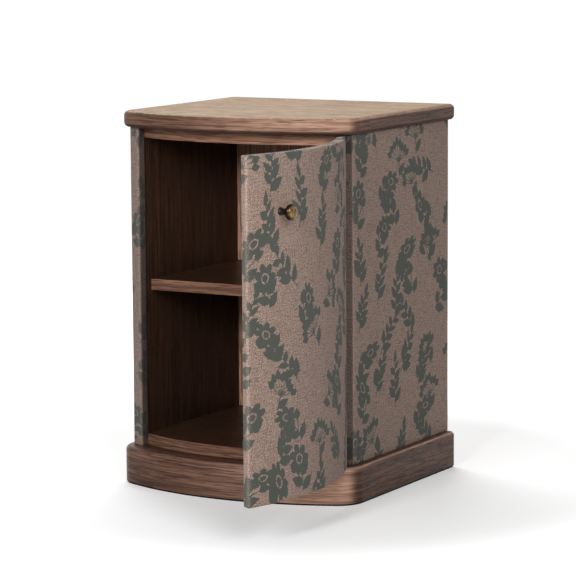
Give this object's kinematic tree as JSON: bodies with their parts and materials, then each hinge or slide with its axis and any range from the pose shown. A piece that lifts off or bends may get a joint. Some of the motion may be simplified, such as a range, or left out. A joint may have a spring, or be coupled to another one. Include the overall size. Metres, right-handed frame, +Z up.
{
  "type": "storage side table",
  "caption": "Bow-fronted side table with a wooden top and plinth, cloth-covered sides and a hinged cloth-covered door over a shelved cupboard.",
  "frame": {"origin": "on the floor, at the middle of the cabinet's width and of its straight sides' depth, on the underside of the base sheet", "axes": "+Z up, -Y out of the bowed front, +X to the viewer's right when facing the front"},
  "size_m": [0.4896, 0.7184, 0.61],
  "materials": {
    "top_wood": "satin brown oak",
    "plinth_wood": "satin brown oak",
    "interior_wood": "satin brown veneer",
    "block_wood": "raw softwood",
    "core_board": "raw laminated board",
    "black_sheet": "matte",
    "printed_cloth": "printed linen weave",
    "aged_brass": "aged satin",
    "dark_bronze": "dark satin",
    "steel": "satin",
    "catch_plastic": "matte"
  },
  "bodies": {
    "cabinet": {"top_slab": "top_wood", "plinth_front": "plinth_wood", "plinth_left": "plinth_wood", "plinth_right": "plinth_wood", "plinth_back": "plinth_wood", "carcass_top": "interior_wood", "carcass_bottom": "interior_wood", "back_panel": "interior_wood", "shelf": "interior_wood", "left_side_core": "interior_wood", "right_side_core": "interior_wood", "plinth_deck": "interior_wood", "corner_blocks": "block_wood", "base_sheet": "black_sheet", "left_side_fabric": "printed_cloth", "right_side_fabric": "printed_cloth", "shelf_pins": "steel", "upper_hinge_plate": "steel", "lower_hinge_plate": "steel", "upper_hinge_pin": "steel", "lower_hinge_pin": "steel", "hinge_washers": "steel", "hinge_plate_screws": "steel", "catch_screws": "steel", "top_screws": "steel", "deck_screws": "steel", "catch_body": "catch_plastic"},
    "door": {"door_core": "core_board", "door_fabric": "printed_cloth", "door_lining": "interior_wood", "knob_head": "aged_brass", "knob_stem": "dark_bronze", "knob_screw": "steel", "strike_plate": "steel", "strike_screw": "steel", "upper_door_leaf": "steel", "lower_door_leaf": "steel", "door_leaf_screws": "steel"}
  },
  "joints": [
    {"name": "door_hinge", "type": "hinge", "parent": "cabinet", "child": "door", "pos_m": [0.1905, -0.175, 0.3225], "axis": [0, 0, 1], "range_deg": [-94, 16]}
  ]
}
